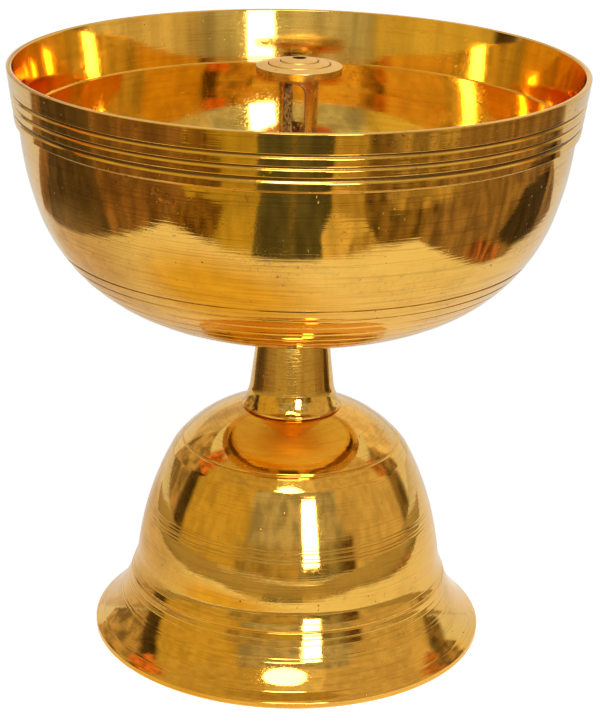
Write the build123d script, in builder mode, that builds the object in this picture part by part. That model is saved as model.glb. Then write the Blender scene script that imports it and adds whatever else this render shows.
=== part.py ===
"""Butter lamp: a turned brass bowl clamped to a bell-shaped foot, with a lift-out wick holder.

Millimetres, +Z up, origin at the centre of the face that the foot stands on.
"""

import os
from math import atan2, degrees

from build123d import *

# Bell foot: a cast and turned bell, open below
foot_radius = 71.2
foot_lip_height = 1.9
foot_lip_bevel = 0.8
foot_rest_width = 3.4
skirt_curve = 36.3
waist_radius = 57.8
waist_height = 22.3
flare_curve = 27.0
bell_radius = 55.6
bell_height = 28.8
bell_curve = 109.6
shoulder_radius = 43.0
shoulder_height = 69.0
dome_curve = 43.9
crown_radius = 16.5
crown_height = 85.9
bell_wall = 2.6
crown_wall = 4.0

# Lines cut round the bell: one at its waist, one along the dome from its shoulder
shoulder_line_run = 5.6
bell_line_width = 0.9
bell_line_depth = 0.4

# Neck: a turned spacer between the bell and the bowl
neck_foot_radius = 18.0
neck_lip_height = 0.9
neck_waist_radius = 15.1
neck_waist_height = 7.9
neck_top_radius = 11.6
neck_length = 36.8

# Bowl: a round wall on a flat base, with a thicker grooved collar at the rim
rim_radius = 100.0
rim_wall = 1.95
bowl_height = 87.9
bowl_base_radius = 35.6
bowl_floor = 3.0
bowl_wall = 2.2
belly_radius = 89.5
belly_height = 37.4
bowl_top_radius = 96.0
collar_height = 19.6
collar_step = 1.5
ledge_width = 1.2

# Grooves turned into the collar, down from the rim, and into the belly, along its arc from the base
collar_groove_count = 3
collar_groove_drop = 7.6
collar_groove_pitch = 3.9
collar_groove_width = 1.6
collar_groove_depth = 0.55
belly_groove_count = 7
belly_groove_run = 27.5
belly_groove_pitch = 4.9
belly_groove_width = 1.2
belly_groove_depth = 0.4

# Tie rod with its nut and washer under the bell's crown
rod_radius = 4.0
rod_chamfer = 0.6
rod_tail = 3.5
rod_clearance = 0.3
thread_gap = 0.05
nut_flats = 13.0
nut_thickness = 6.5
washer_radius = 12.0
washer_thickness = 1.6

# Gasket and flanged socket nut on the bowl's floor
gasket_radius = 15.0
gasket_thickness = 1.0
flange_radius = 16.0
flange_thickness = 4.0
flange_edge = 1.0
socket_height = 20.0
socket_wall = 3.4
socket_depth = 12.0
rod_set_back = 1.0

# Wick holder: a slotted post with a coned disc on top
post_radius = 6.68
post_length = 72.6
post_gap = 0.06
post_chamfer = 0.5
slot_width = 7.4
slot_length = 55.0
slot_head = 2.6
disc_radius = 14.86
disc_edge = 2.6
disc_rise = 2.75
disc_ring_radii = (6.6, 10.7)
disc_ring_width = 0.5
disc_ring_depth = 0.25
wick_hole_radius = 2.45
spigot_wall = 2.1
spigot_length = 1.8
spigot_gap = 0.05

# Heights of the seats, worked out from the pieces stacked on the rod
bowl_base = crown_height + neck_length
rim_height = bowl_base + bowl_height
collar_base = rim_height - collar_height
floor_top = bowl_base + bowl_floor
socket_base = floor_top + gasket_thickness
socket_top = socket_base + socket_height
post_seat = socket_top - socket_depth
post_top = post_seat + post_length
disc_edge_top = post_top + disc_edge
disc_top = disc_edge_top + disc_rise
crown_base = crown_height - crown_wall
washer_base = crown_base - washer_thickness
nut_base = washer_base - nut_thickness
rod_base = nut_base - rod_tail
rod_top = post_seat - rod_set_back

# Radii of the holes and fits
rod_hole_radius = rod_radius + rod_clearance
thread_radius = rod_radius + thread_gap
socket_bore_radius = post_radius + post_gap
socket_radius = socket_bore_radius + socket_wall
spigot_radius = wick_hole_radius + spigot_wall
spigot_bore_radius = spigot_radius + spigot_gap
collar_base_radius = bowl_top_radius + collar_step
ledge_radius = bowl_top_radius - bowl_wall + ledge_width


def bell_side(foot, inset, crown_drop):
    """Draw one side of the bell from its foot up to its crown; returns the dome."""
    waist = (waist_radius - inset, waist_height)
    bell = (bell_radius - inset, bell_height)
    shoulder = (shoulder_radius - inset, shoulder_height - inset / 2)
    crown = (crown_radius, crown_height - crown_drop)
    RadiusArc(foot, waist, skirt_curve + inset)
    RadiusArc(waist, bell, flare_curve + inset)
    RadiusArc(bell, shoulder, -(bell_curve - inset))
    return RadiusArc(shoulder, crown, -(dome_curve - inset))


def bowl_side(inset, lift):
    """Draw one side of the bowl's wall from its base up to the collar; returns the belly."""
    base = (bowl_base_radius, bowl_base + lift)
    belly_top = (belly_radius - inset, bowl_base + belly_height)
    belly = TangentArc(base, belly_top, tangent=(1, 0))
    TangentArc(belly_top, (bowl_top_radius - inset, collar_base), tangent=belly % 1)
    return belly


def cut_groove(point, along, width, depth):
    """Draw the section of a V groove at a point, across a line that runs along a direction."""
    with Locations(Location(point, (0, 0, degrees(atan2(along.Y, along.X))))):
        Polygon((-width / 2, 0), (0, -depth), (width / 2, 0), (0, depth), align=None)


# Bell foot
with BuildPart() as bell_foot:
    with BuildSketch(Plane.XZ):
        with BuildLine():
            rest_inner = (foot_radius - foot_rest_width, 0)
            lip_top = (foot_radius, foot_lip_height)
            skirt_foot = (foot_radius - foot_lip_bevel, foot_lip_height + foot_lip_bevel)
            Polyline(rest_inner, (foot_radius, 0), lip_top, skirt_foot)
            dome = bell_side(skirt_foot, 0, 0)
            Polyline(
                (crown_radius, crown_height),
                (rod_hole_radius, crown_height),
                (rod_hole_radius, crown_base),
                (crown_radius, crown_base),
            )
            bell_side(rest_inner, bell_wall, crown_wall)
        make_face()
    revolve(axis=Axis.Z)
    with BuildSketch(Plane.XZ):
        shoulder_line = dome.position_at(shoulder_line_run, position_mode=PositionMode.LENGTH)
        dome_rise = dome.tangent_at(shoulder_line_run, position_mode=PositionMode.LENGTH)
        cut_groove(shoulder_line, dome_rise, bell_line_width, bell_line_depth)
        cut_groove((waist_radius, waist_height), Vector(0, 1), bell_line_width, bell_line_depth)
    revolve(axis=Axis.Z, mode=Mode.SUBTRACT)

# Neck
with BuildPart() as neck:
    with BuildSketch(Plane.XZ):
        with BuildLine():
            lip = (neck_foot_radius, crown_height + neck_lip_height)
            waist = (neck_waist_radius, crown_height + neck_waist_height)
            taper = Polyline(
                lip,
                (neck_foot_radius, crown_height),
                (rod_hole_radius, crown_height),
                (rod_hole_radius, bowl_base),
                (neck_top_radius, bowl_base),
                waist,
            )
            TangentArc(waist, lip, tangent=taper % 1)
        make_face()
    revolve(axis=Axis.Z)

# Bowl
with BuildPart() as bowl:
    with BuildSketch(Plane.XZ):
        with BuildLine():
            belly = bowl_side(0, 0)
            collar_foot = (collar_base_radius, collar_base + collar_step / 2)
            rim = (rim_radius, rim_height)
            collar = Line(collar_foot, rim)
            Line((bowl_top_radius, collar_base), collar_foot)
            Polyline(
                rim,
                (rim_radius - rim_wall, rim_height),
                (ledge_radius, collar_base),
                (bowl_top_radius - bowl_wall, collar_base),
            )
            bowl_side(bowl_wall, bowl_floor)
            Polyline(
                (bowl_base_radius, floor_top),
                (rod_hole_radius, floor_top),
                (rod_hole_radius, bowl_base),
                (bowl_base_radius, bowl_base),
            )
        make_face()
    revolve(axis=Axis.Z)
    with BuildSketch(Plane.XZ):
        for groove in range(collar_groove_count):
            run = collar.length - collar_groove_drop - groove * collar_groove_pitch
            point = collar.position_at(run, position_mode=PositionMode.LENGTH)
            cut_groove(point, collar % 1, collar_groove_width, collar_groove_depth)
        for groove in range(belly_groove_count):
            run = belly_groove_run + groove * belly_groove_pitch
            point = belly.position_at(run, position_mode=PositionMode.LENGTH)
            along = belly.tangent_at(run, position_mode=PositionMode.LENGTH)
            cut_groove(point, along, belly_groove_width, belly_groove_depth)
    revolve(axis=Axis.Z, mode=Mode.SUBTRACT)

# Gasket under the socket's flange
with BuildPart() as bowl_gasket:
    with BuildSketch(Plane.XY.offset(floor_top)):
        Circle(gasket_radius)
        Circle(rod_hole_radius, mode=Mode.SUBTRACT)
    extrude(amount=gasket_thickness)

# Flanged socket nut, which clamps the bowl and holds the wick post
with BuildPart() as wick_socket:
    with BuildSketch(Plane.XZ):
        with BuildLine():
            Polyline(
                (thread_radius, socket_base),
                (flange_radius, socket_base),
                (flange_radius, socket_base + flange_thickness - flange_edge),
                (flange_radius - flange_edge, socket_base + flange_thickness),
                (socket_radius, socket_base + flange_thickness),
                (socket_radius, socket_top),
                (socket_bore_radius, socket_top),
                (socket_bore_radius, post_seat),
                (thread_radius, post_seat),
                close=True,
            )
        make_face()
    revolve(axis=Axis.Z)

# Tie rod
with BuildPart() as tie_rod:
    with BuildSketch(Plane.XY.offset(rod_base)):
        Circle(rod_radius)
    extrude(amount=rod_top - rod_base)
    chamfer(tie_rod.edges().filter_by(GeomType.CIRCLE), length=rod_chamfer)

# Washer and nut under the crown
with BuildPart() as foot_washer:
    with BuildSketch(Plane.XY.offset(washer_base)):
        Circle(washer_radius)
        Circle(rod_hole_radius, mode=Mode.SUBTRACT)
    extrude(amount=washer_thickness)

with BuildPart() as foot_nut:
    with BuildSketch(Plane.XY.offset(nut_base)):
        RegularPolygon(nut_flats / 2, side_count=6, major_radius=False)
        Circle(thread_radius, mode=Mode.SUBTRACT)
    extrude(amount=nut_thickness)

# Wick post, with its slot along Y
with BuildPart() as wick_post:
    with BuildSketch(Plane.XY.offset(post_seat)):
        Circle(post_radius)
    extrude(amount=post_length)
    chamfer(wick_post.edges().group_by(Axis.Z)[0], length=post_chamfer)
    slot_middle = post_top - slot_head - slot_length / 2
    with BuildSketch(Plane.XZ):
        with Locations((0, slot_middle)):
            SlotOverall(slot_length, slot_width, rotation=90)
    extrude(amount=2 * post_radius, both=True, mode=Mode.SUBTRACT)
    with BuildSketch(Plane.XY.offset(post_top)):
        Circle(spigot_bore_radius)
    extrude(amount=-spigot_length - spigot_gap, mode=Mode.SUBTRACT)
    with BuildSketch(Plane.XY.offset(post_top)):
        Circle(wick_hole_radius)
    extrude(amount=-slot_head - slot_width / 2, mode=Mode.SUBTRACT)

# Coned wick disc, with its spigot in the post
with BuildPart() as wick_disc:
    with BuildSketch(Plane.XZ):
        with BuildLine():
            cone = Line((disc_radius, disc_edge_top), (wick_hole_radius, disc_top))
            Polyline(
                (wick_hole_radius, disc_top),
                (wick_hole_radius, post_top - spigot_length),
                (spigot_radius, post_top - spigot_length),
                (spigot_radius, post_top),
                (disc_radius, post_top),
                (disc_radius, disc_edge_top),
            )
        make_face()
    revolve(axis=Axis.Z)
    with BuildSketch(Plane.XZ):
        for ring_radius in disc_ring_radii:
            share = (disc_radius - ring_radius) / (disc_radius - wick_hole_radius)
            cut_groove(cone @ share, -(cone % 1), disc_ring_width, disc_ring_depth)
    revolve(axis=Axis.Z, mode=Mode.SUBTRACT)

pieces = {
    "bell_foot": bell_foot,
    "neck": neck,
    "bowl": bowl,
    "bowl_gasket": bowl_gasket,
    "wick_socket": wick_socket,
    "tie_rod": tie_rod,
    "foot_washer": foot_washer,
    "foot_nut": foot_nut,
    "wick_post": wick_post,
    "wick_disc": wick_disc,
}
os.makedirs("parts", exist_ok=True)
for name, piece in pieces.items():
    piece.part.label = name
    export_step(piece.part, f"parts/{name}.step")
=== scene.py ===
"""Butter lamp: turned brass bowl, neck and bell foot with a slotted wick holder.

Run as a script in Blender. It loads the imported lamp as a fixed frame, builds the turned pieces as fine
lathe meshes in procedural brass, and sets a pale floor, soft studio light and a camera.
"""

import math

import bmesh
import bpy
import numpy as np
from mathutils import Matrix, Vector


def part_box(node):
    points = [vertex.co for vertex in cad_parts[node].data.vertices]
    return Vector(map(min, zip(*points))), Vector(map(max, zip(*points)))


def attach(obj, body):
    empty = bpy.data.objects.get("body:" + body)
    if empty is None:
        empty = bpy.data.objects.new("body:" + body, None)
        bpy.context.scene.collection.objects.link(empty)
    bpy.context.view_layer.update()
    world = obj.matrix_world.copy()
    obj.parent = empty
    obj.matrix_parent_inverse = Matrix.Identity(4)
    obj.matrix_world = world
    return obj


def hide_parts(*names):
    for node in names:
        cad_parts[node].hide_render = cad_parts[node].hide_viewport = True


bl_info = {
    "name": "Butter Lamp",
    "version": (1, 0, 0),
    "blender": (4, 5, 0),
    "location": "3D View > Sidebar > Butter Lamp",
    "description": "Builds a turned brass butter lamp round its packed frame",
    "category": "Object",
}

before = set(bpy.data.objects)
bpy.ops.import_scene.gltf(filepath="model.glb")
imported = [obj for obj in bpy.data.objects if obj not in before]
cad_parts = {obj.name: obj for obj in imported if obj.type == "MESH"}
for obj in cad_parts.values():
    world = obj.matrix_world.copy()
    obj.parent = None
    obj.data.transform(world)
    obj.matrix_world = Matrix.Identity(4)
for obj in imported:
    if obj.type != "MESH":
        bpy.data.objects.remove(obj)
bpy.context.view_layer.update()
_, foot_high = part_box("bell_foot")
neck_low, neck_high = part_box("neck")
bowl_low, bowl_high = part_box("bowl")
post_low, post_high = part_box("wick_post")
disc_low, disc_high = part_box("wick_disc")

# Lengths that several pieces share, in metres
ROD_HOLE = 0.0043
SEAT_GAP = 0.00005
PROFILE_STEP = 0.0001


# Settings that a user would change

def length(name, description, default):
    """A length property in metres."""
    return bpy.props.FloatProperty(
        name=name, description=description, default=default, min=0.0, precision=5, unit="LENGTH"
    )


def angle(name, description, degrees):
    """An angle property."""
    return bpy.props.FloatProperty(
        name=name, description=description, default=math.radians(degrees), subtype="ANGLE"
    )


def colour(name, description, default):
    """A linear colour property."""
    return bpy.props.FloatVectorProperty(
        name=name, description=description, default=default, size=3, min=0.0, max=1.0, subtype="COLOR"
    )


def factor(name, description, default):
    """A plain number property from 0 to 1."""
    return bpy.props.FloatProperty(
        name=name, description=description, default=default, min=0.0, max=1.0, subtype="FACTOR"
    )


class LampFootSettings(bpy.types.PropertyGroup):
    """Sizes of the bell foot."""

    lip_height: length("Lip Height", "Height of the upright lip at the floor", 0.0019)
    lip_bevel: length("Lip Bevel", "Bevel on top of the lip", 0.0008)
    rest_width: length("Rest Width", "Width of the flat ring that the foot stands on", 0.0034)
    skirt_curve: length("Skirt Curve", "Radius of the skirt's hollow curve", 0.0363)
    waist_radius: length("Waist Radius", "Radius at the line over the skirt", 0.0578)
    waist_height: length("Waist Height", "Height of the line over the skirt", 0.0223)
    flare_curve: length("Flare Curve", "Radius of the short hollow curve over the waist", 0.0270)
    bell_radius: length("Bell Radius", "Radius at the foot of the bell's round side", 0.0556)
    bell_height: length("Bell Height", "Height of the foot of the bell's round side", 0.0288)
    bell_curve: length("Bell Curve", "Radius of the bell's side", 0.1096)
    shoulder_radius: length("Shoulder Radius", "Radius where the side turns into the dome", 0.0430)
    shoulder_height: length("Shoulder Height", "Height where the side turns into the dome", 0.0690)
    dome_curve: length("Dome Curve", "Radius of the dome", 0.0439)
    crown_radius: length("Crown Radius", "Radius of the flat crown under the neck", 0.0165)
    wall: length("Wall", "Thickness of the bell's wall", 0.0026)
    crown_wall: length("Crown Wall", "Thickness of the crown", 0.0040)
    line_width: length("Line Width", "Width of the lines cut at the waist and on the dome", 0.0009)
    line_depth: length("Line Depth", "Depth of the lines cut at the waist and on the dome", 0.0004)


class LampNeckSettings(bpy.types.PropertyGroup):
    """Sizes of the neck."""

    lip_height: length("Lip Height", "Height of the thin lip over the dome", 0.0009)
    waist_radius: length("Waist Radius", "Radius where the flare meets the taper", 0.0151)
    waist_height: length("Waist Height", "Height of that place over the crown", 0.0079)
    top_radius: length("Top Radius", "Radius under the bowl", 0.0116)


class LampBowlSettings(bpy.types.PropertyGroup):
    """Sizes of the bowl."""

    rim_wall: length("Rim Wall", "Width of the rim's top", 0.00195)
    rim_crown: length("Rim Crown", "How far the rim's top is rounded", 0.0003)
    base_radius: length("Base Radius", "Radius of the flat base", 0.0356)
    floor: length("Floor", "Thickness of the floor", 0.0030)
    wall: length("Wall", "Thickness of the wall", 0.0022)
    belly_radius: length("Belly Radius", "Radius where the belly turns into the upper wall", 0.0895)
    belly_height: length("Belly Height", "Height of that place over the base", 0.0374)
    top_radius: length("Top Radius", "Radius of the wall under the collar", 0.0960)
    collar_height: length("Collar Height", "Height of the thicker collar at the rim", 0.0196)
    collar_step: length("Collar Step", "How far the collar stands out from the wall", 0.0015)
    ledge_width: length("Ledge Width", "Width of the ledge inside, level with the collar's foot", 0.0012)
    collar_groove_drop: length("Collar Groove Drop", "First collar groove, down from the rim", 0.0076)
    collar_groove_pitch: length("Collar Groove Pitch", "Distance between collar grooves", 0.0039)
    collar_groove_depth: length("Collar Groove Depth", "Depth of the collar grooves", 0.0006)
    belly_groove_run: length("Belly Groove Run", "First belly groove, along the belly from the base", 0.0275)
    belly_groove_pitch: length("Belly Groove Pitch", "Distance between belly grooves", 0.0049)
    belly_groove_width: length("Belly Groove Width", "Width of the belly grooves", 0.0010)
    belly_groove_depth: length("Belly Groove Depth", "Depth of the belly grooves", 0.00035)
    belly_band_sag: length("Belly Band Sag", "How far the bands between belly grooves slope to them", 0.00006)


class LampWickSettings(bpy.types.PropertyGroup):
    """Sizes of the wick holder."""

    slot_width: length("Slot Width", "Width of the slot through the post", 0.0074)
    slot_length: length("Slot Length", "Length of the slot", 0.0550)
    slot_head: length("Slot Head", "Solid length over the slot", 0.0026)
    slot_edge: length("Slot Edge", "Rounding of the slot's edges", 0.0007)
    slot_roughness: length("Slot Roughness", "How far the cast walls of the slot swell and dip", 0.00022)
    disc_edge: length("Disc Edge", "Height of the disc's upright edge", 0.0026)
    hole_radius: length("Hole Radius", "Radius of the wick hole", 0.00245)
    spigot_radius: length("Spigot Radius", "Radius of the spigot under the disc", 0.00455)
    inner_ring: length("Inner Ring", "Radius of the inner line cut on the disc", 0.0066)
    outer_ring: length("Outer Ring", "Radius of the outer line cut on the disc", 0.0107)


class LampFixingsSettings(bpy.types.PropertyGroup):
    """Sizes of the socket, rod and nut."""

    flange_height: length("Flange Height", "Height of the socket's flange", 0.0040)
    flange_edge: length("Flange Edge", "Bevel on top of the flange", 0.0010)
    socket_radius: length("Socket Radius", "Outer radius of the socket", 0.01014)
    socket_bore: length("Socket Bore", "Radius of the hole that the wick post stands in", 0.00674)
    socket_depth: length("Socket Depth", "Depth of that hole", 0.0120)
    thread_hole: length("Thread Hole", "Radius of the threaded holes", 0.00405)
    thread_pitch: length("Thread Pitch", "Pitch of the rod's thread", 0.00125)
    thread_depth: length("Thread Depth", "Depth of the rod's thread", 0.00062)
    thread_length: length("Thread Length", "Length of thread shown under the nut", 0.0050)
    rod_chamfer: length("Rod Chamfer", "Chamfer at the rod's ends", 0.0006)
    nut_flats: length("Nut Flats", "Width of the nut across its flats", 0.0130)


class LampFinishSettings(bpy.types.PropertyGroup):
    """Colours and finish of the metals."""

    brass: colour("Brass", "Clean polished brass", (0.90, 0.53, 0.10))
    satin_brass: colour("Satin Brass", "Brass of the wick disc's turned top", (0.93, 0.57, 0.16))
    tarnish: colour("Tarnish", "Brown film in hollows and on old polish", (0.30, 0.13, 0.03))
    # Dark colour in the deeper cut lines and the wick hole, also painted as shade at the top of the post's slot and
    # along one of its edges
    dark_tone_and_shade: colour("Grime", "Old soot and butter in cut lines", (0.045, 0.022, 0.009))
    cast: colour("Cast Skin", "Rough grey skin left from casting", (0.38, 0.33, 0.27))
    steel: colour("Steel", "Rod, nut and washer", (0.50, 0.48, 0.45))
    rust: colour("Rust", "Rust on the steel", (0.22, 0.075, 0.025))
    fibre: colour("Fibre", "Gasket", (0.20, 0.11, 0.06))
    polish: factor("Polish Roughness", "Roughness of the polished brass", 0.05)
    line_height: length("Turning Lines", "Height of the fine lines left by turning", 0.000016)


class LampStageSettings(bpy.types.PropertyGroup):
    """Floor, light and camera."""

    floor: colour("Floor", "Pale floor", (0.80, 0.80, 0.80))
    azimuth: angle("Azimuth", "Camera's angle round the lamp", 17.0)
    elevation: angle("Elevation", "Camera's angle over the floor", 19.81)
    roll: angle("Roll", "Camera's tilt to one side", 1.4)
    distance: length("Distance", "Camera's distance from the point it looks at", 0.77405)
    look_right: length("Look Right", "How far right of the axis the camera looks", 0.00267)
    look_height: length("Look Height", "Height of the point that the camera looks at", 0.10368)
    lens: bpy.props.FloatProperty(
        name="Lens", description="Focal length", default=108.57, min=1.0, subtype="DISTANCE_CAMERA"
    )


class ButterLampSettings(bpy.types.PropertyGroup):
    """All settings of the butter lamp."""

    foot: bpy.props.PointerProperty(type=LampFootSettings, name="Foot", description="Bell foot")
    neck: bpy.props.PointerProperty(type=LampNeckSettings, name="Neck", description="Neck")
    bowl: bpy.props.PointerProperty(type=LampBowlSettings, name="Bowl", description="Bowl")
    wick: bpy.props.PointerProperty(type=LampWickSettings, name="Wick Holder", description="Wick holder")
    fixings: bpy.props.PointerProperty(type=LampFixingsSettings, name="Fixings", description="Socket, rod and nut")
    finish: bpy.props.PointerProperty(type=LampFinishSettings, name="Finish", description="Metals")
    stage: bpy.props.PointerProperty(type=LampStageSettings, name="Stage", description="Floor, light and camera")


# Turned profiles: points are (radius, height) in metres

def line(start, end):
    """Points along a straight run, without its end."""
    start, end = np.array(start), np.array(end)
    count = max(2, round(np.linalg.norm(end - start) / PROFILE_STEP))
    return start + (end - start) * (np.arange(count) / count)[:, None]


def outline_of(corners):
    """Points along a closed outline with straight sides."""
    return np.vstack([line(start, end) for start, end in zip(corners, corners[1:] + corners[:1])])


def arc(start, end, radius):
    """Points along an arc that bulges to the left for a positive radius, without its end."""
    start, end = np.array(start), np.array(end)
    half = (end - start) / 2
    size = np.linalg.norm(half)
    left = np.array((-half[1], half[0])) / size
    centre = start + half - left * math.copysign(math.sqrt(radius**2 - size**2), radius)
    spoke = start - centre
    sweep = 2 * math.asin(size / abs(radius)) * -math.copysign(1, radius)
    count = max(4, round(abs(sweep * radius) / PROFILE_STEP))
    turn = sweep * np.arange(count) / count
    cosine, sine = np.cos(turn), np.sin(turn)
    return centre + np.stack((cosine * spoke[0] - sine * spoke[1], sine * spoke[0] + cosine * spoke[1]), axis=1)


def tangent_arc(start, end, tangent):
    """Points along the arc that leaves start along a tangent, without its end, and the tangent at the end."""
    tangent = np.array(tangent) / np.linalg.norm(tangent)
    chord = np.array(end) - np.array(start)
    left = np.array((-tangent[1], tangent[0]))
    radius = chord @ chord / (2 * (chord @ left))
    points = arc(start, end, -radius)
    leaving = 2 * (tangent @ chord) * chord / (chord @ chord) - tangent
    return points, leaving


def along(points):
    """Distance of each point of a closed profile from its start, and the whole way round."""
    steps = np.linalg.norm(np.roll(points, -1, axis=0) - points, axis=1)
    return np.concatenate(([0.0], np.cumsum(steps)[:-1])), steps.sum()


def even(points, step):
    """The closed profile again, with points an even step apart."""
    at, total = along(points)
    count = round(total / step)
    want = np.arange(count) * total / count
    closed = np.vstack((points, points[:1]))
    at = np.append(at, total)
    return np.stack((np.interp(want, at, closed[:, 0]), np.interp(want, at, closed[:, 1])), axis=1)


def soften(values, width):
    """A moving average round a closed run, width points wide, taken twice."""
    width = max(1, int(width)) | 1
    kernel = np.ones(width) / width
    for _ in range(2):
        padded = np.concatenate((values[-width:], values, values[:width]))
        values = np.convolve(padded, kernel, mode="same")[width:-width]
    return values


def turned_profile(points, cuts, edge=0.00025, coarse=0.0016):
    """Cut grooves into a closed profile, round its edges and thin its points out where it is nearly straight.

    Each cut is (point, width, depth, flat), where flat is the share of the width that is at full depth.
    Returns the points and how dark each is made, from 0 to 1, by the depth of its cut; shallow cuts are not darkened.
    """
    step, fine = 0.00005, 0.00009
    undarkened_depth, darkening_range = 0.00028, 0.0003
    cut_round, bend_reach, dense_reach, dense_round = 0.00018, 0.0004, 0.0012, 0.0006
    bend_per_point = 0.075
    points = even(points, step)
    ahead = np.roll(points, -3, axis=0) - np.roll(points, 3, axis=0)
    inward = np.stack((-ahead[:, 1], ahead[:, 0]), axis=1) / np.linalg.norm(ahead, axis=1)[:, None]
    at, total = along(points)
    sunk = np.zeros(len(points))
    groove = np.zeros(len(points))
    for point, width, depth, flat in cuts:
        middle = at[np.argmin(np.linalg.norm(points - np.array(point), axis=1))]
        away = np.abs((at - middle + total / 2) % total - total / 2) / (width / 2)
        share = np.clip((1 - away) / (1 - flat), 0, 1)
        sunk = np.maximum(sunk, share * depth)
        groove = np.maximum(groove, share * np.clip((depth - undarkened_depth) / darkening_range, 0, 1))
    sunk = soften(sunk, cut_round / step)
    points = points + inward * sunk[:, None]
    points = np.stack([soften(points[:, axis], edge / step) for axis in (0, 1)], axis=1)
    ahead = np.roll(points, -2, axis=0) - np.roll(points, 2, axis=0)
    heading = np.unwrap(np.arctan2(ahead[:, 1], ahead[:, 0]))
    bend = np.abs(np.gradient(heading)) / step
    bend = soften(bend, bend_reach / step)
    density = np.clip(bend / bend_per_point, 1 / coarse, 1 / fine)
    density = np.maximum(density, soften(density, dense_reach / step))
    density = soften(density, dense_round / step)
    count = np.concatenate(([0.0], np.cumsum(density * step)))
    whole = math.ceil(count[-1])
    want = np.arange(whole) * count[-1] / whole
    index = np.clip(np.interp(want, count, np.arange(len(count))), 0, len(points) - 1)
    pick = np.unique(np.round(index).astype(int))
    return points[pick], groove[pick]


def hand_wobble(turns, points, size, seed):
    """Small swells left by hand polishing, outward in metres, for each turn and profile point."""
    rng = np.random.default_rng(seed)
    waves, most_around, steepest = 22, 15, 320
    swell = np.zeros((len(turns), len(points)))
    for _ in range(waves):
        around = rng.integers(2, most_around)
        up, out = rng.uniform(-steepest, steepest, 2)
        start = rng.uniform(0, 2 * math.pi)
        phase = points[:, 1] * up + points[:, 0] * out + start
        swell += rng.uniform(0.3, 1.0) / (2 + 0.3 * around) * np.sin(around * turns[:, None] + phase)
    return size * swell


def lathe(name, points, groove, segments, swell=0.0, seed=1):
    """A closed turned mesh about Z from a profile, with the groove depth kept as an attribute."""
    turns = np.arange(segments) * 2 * math.pi / segments
    ahead = np.roll(points, -1, axis=0) - np.roll(points, 1, axis=0)
    outward = np.stack((ahead[:, 1], -ahead[:, 0]), axis=1) / np.linalg.norm(ahead, axis=1)[:, None]
    push = hand_wobble(turns, points, swell, seed)
    radius = points[:, 0] + push * outward[:, 0]
    height = points[:, 1] + push * outward[:, 1]
    piece = ring_mesh(name, radius, height, turns)
    depth = piece.data.attributes.new("groove", "FLOAT", "POINT")
    depth.data.foreach_set("value", np.tile(groove, segments).astype(np.float32))
    return piece


def face_kinds(piece, kind):
    """Set each face's material by kind, a function of the middles and normals of all faces as arrays."""
    faces = piece.data.polygons
    middle, normal = np.empty(len(faces) * 3, np.float32), np.empty(len(faces) * 3, np.float32)
    faces.foreach_get("center", middle)
    faces.foreach_get("normal", normal)
    chosen = kind(middle.reshape(-1, 3), normal.reshape(-1, 3))
    faces.foreach_set("material_index", np.asarray(chosen, np.int32))
    piece.data.update()


def raise_burr(piece, s, turn):
    """Pull the wick hole's edge inward over a small arc, as the drill left it."""
    size, spread, reach_out, reach_down = 0.0011, 0.26, 0.0006, 0.0012
    points = np.empty(len(piece.data.vertices) * 3, np.float32)
    piece.data.vertices.foreach_get("co", points)
    points = points.reshape(-1, 3)
    radius = np.linalg.norm(points[:, :2], axis=1)
    off = np.arctan2(points[:, 1], points[:, 0]) - turn
    off = np.abs((off + math.pi) % (2 * math.pi) - math.pi)
    near = np.clip(1 - (radius - s.hole_radius) / reach_out, 0, 1)
    near *= np.clip(1 - (disc_high.z - points[:, 2]) / reach_down, 0, 1)
    pull = size * near * np.exp(-((off / spread) ** 2))
    points[:, :2] *= (1 - pull / radius)[:, None]
    piece.data.vertices.foreach_set("co", points.ravel())
    piece.data.update()


def ring_mesh(name, radius, height, turns):
    """A closed ring from the radius and height of each profile point at each turn."""
    radius, height = np.broadcast_arrays(radius, height)
    grid = np.stack((radius * np.cos(turns)[:, None], radius * np.sin(turns)[:, None], height), axis=2)
    segments, rows = radius.shape
    here = np.arange(segments * rows).reshape(segments, rows)
    beside = np.roll(here, -1, axis=0)
    quads = np.stack((here, beside, np.roll(beside, -1, axis=1), np.roll(here, -1, axis=1)), axis=2)
    return place(name, grid_mesh(name, grid.reshape(-1, 3), quads.reshape(-1, 4)))


def grid_mesh(name, points, quads):
    """A smooth mesh from arrays of points and four-cornered faces."""
    mesh = bpy.data.meshes.new(name)
    mesh.vertices.add(len(points))
    mesh.vertices.foreach_set("co", np.asarray(points, np.float32).ravel())
    mesh.loops.add(quads.size)
    mesh.loops.foreach_set("vertex_index", quads.astype(np.int32).ravel())
    mesh.polygons.add(len(quads))
    mesh.polygons.foreach_set("loop_start", np.arange(0, quads.size, 4, dtype=np.int32))
    mesh.update(calc_edges=True)
    mesh.validate()
    mesh.shade_smooth()
    return mesh


def place(name, data):
    """Put a mesh, light or camera into the scene as an object."""
    piece = bpy.data.objects.new(name, data)
    bpy.context.scene.collection.objects.link(piece)
    return piece


def stand_for(piece, node, body, slot, *materials):
    """Let a piece stand for a node of the frame, in these materials."""
    for material in materials:
        piece.data.materials.append(material)
    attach(piece, body)
    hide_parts(node)


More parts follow.
